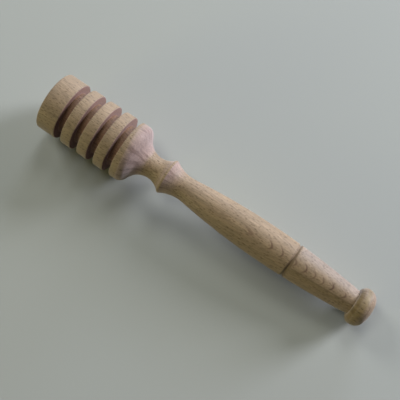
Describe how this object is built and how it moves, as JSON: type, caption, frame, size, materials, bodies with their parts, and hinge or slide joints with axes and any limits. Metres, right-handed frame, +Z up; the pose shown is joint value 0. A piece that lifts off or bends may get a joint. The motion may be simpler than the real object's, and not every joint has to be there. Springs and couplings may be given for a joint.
{
  "type": "honey dipper",
  "caption": "Turned beech honey dipper: a grooved cylindrical head with a bell-shaped shoulder on a slim swelling handle with a bead, a scorched line and an end knob.",
  "frame": {"origin": "on the table under the middle of the dipper, which lies on its side on the head's shoulder and the knob", "axes": "+X along the table from the head towards the knob, +Z up; the dipper's own axis drops towards the knob by about 2.4 degrees"},
  "size_m": [0.1756, 0.029, 0.0308],
  "materials": {
    "beech_head": "bare beech, sanded, with pinkish end grain in the grooves and on the bell",
    "beech_handle": "bare beech, sanded, with one line scorched dark"
  },
  "bodies": {
    "root": {"head": "beech_head", "handle": "beech_handle"}
  },
  "joints": []
}
